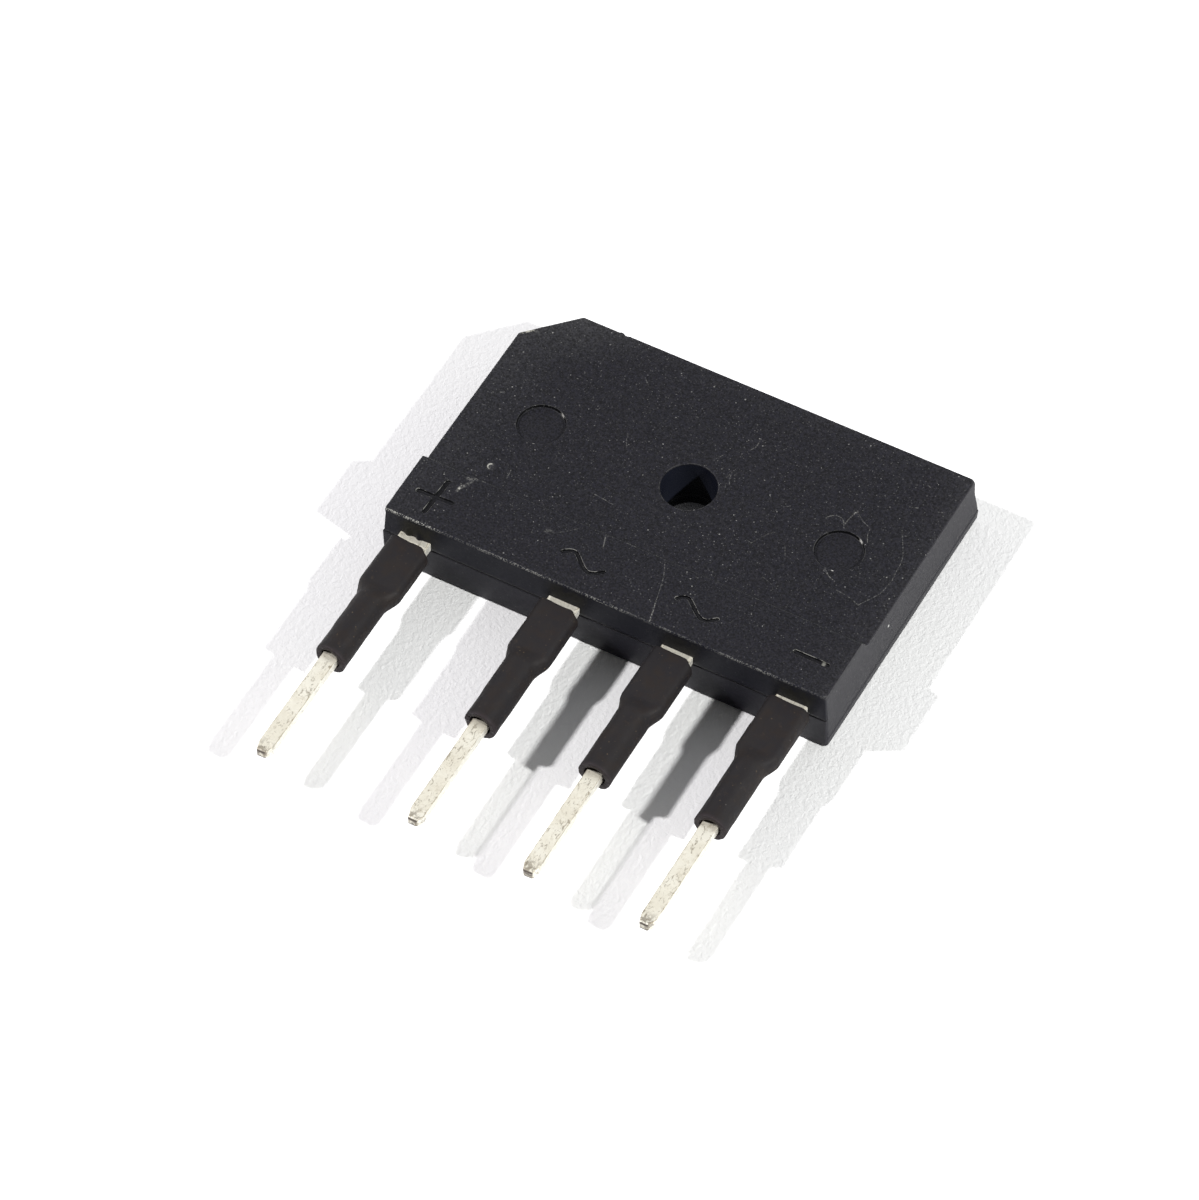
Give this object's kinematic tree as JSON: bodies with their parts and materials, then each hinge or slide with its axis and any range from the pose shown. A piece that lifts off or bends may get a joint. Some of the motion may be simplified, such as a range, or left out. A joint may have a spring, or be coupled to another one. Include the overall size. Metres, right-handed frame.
{
  "type": "bridge rectifier",
  "caption": "Flat moulded bridge rectifier with a screw hole, a raised band over its in-line leads, and a shrunk sleeve on each lead.",
  "frame": {"origin": "centre of the screw hole, on the flat back face that seats on a heat sink", "axes": "+Z leaves the marked face along the screw hole, the leads point to -Y, and +X runs from the positive lead to the negative lead"},
  "size_m": [0.0296, 0.0367, 0.0046],
  "materials": {
    "moulding": "matte charcoal epoxy with fine pale specks",
    "tinned_lead": "satin warm tin plating over copper, lightly scratched",
    "sleeve": "matte dark brown-black heat-shrink tube with brown dust",
    "silicon": "polished silicon with a thin metal coat",
    "copper_clip": "bare stamped copper",
    "solder": "dull high-lead solder"
  },
  "bodies": {
    "root": {"case": "moulding", "lead_plus": "tinned_lead", "lead_ac_left": "tinned_lead", "lead_ac_right": "tinned_lead", "lead_minus": "tinned_lead", "sleeve_plus": "sleeve", "sleeve_ac_left": "sleeve", "sleeve_ac_right": "sleeve", "sleeve_minus": "sleeve", "diode_chip_1": "silicon", "diode_chip_2": "silicon", "diode_chip_3": "silicon", "diode_chip_4": "silicon", "clip_ac_left": "copper_clip", "clip_ac_right": "copper_clip", "clip_minus": "copper_clip", "solder_under_1": "solder", "solder_under_2": "solder", "solder_under_3": "solder", "solder_under_4": "solder", "solder_over_1": "solder", "solder_over_2": "solder", "solder_over_3": "solder", "solder_over_4": "solder", "solder_foot_ac_left": "solder", "solder_foot_ac_right": "solder", "solder_foot_minus": "solder"}
  },
  "joints": []
}
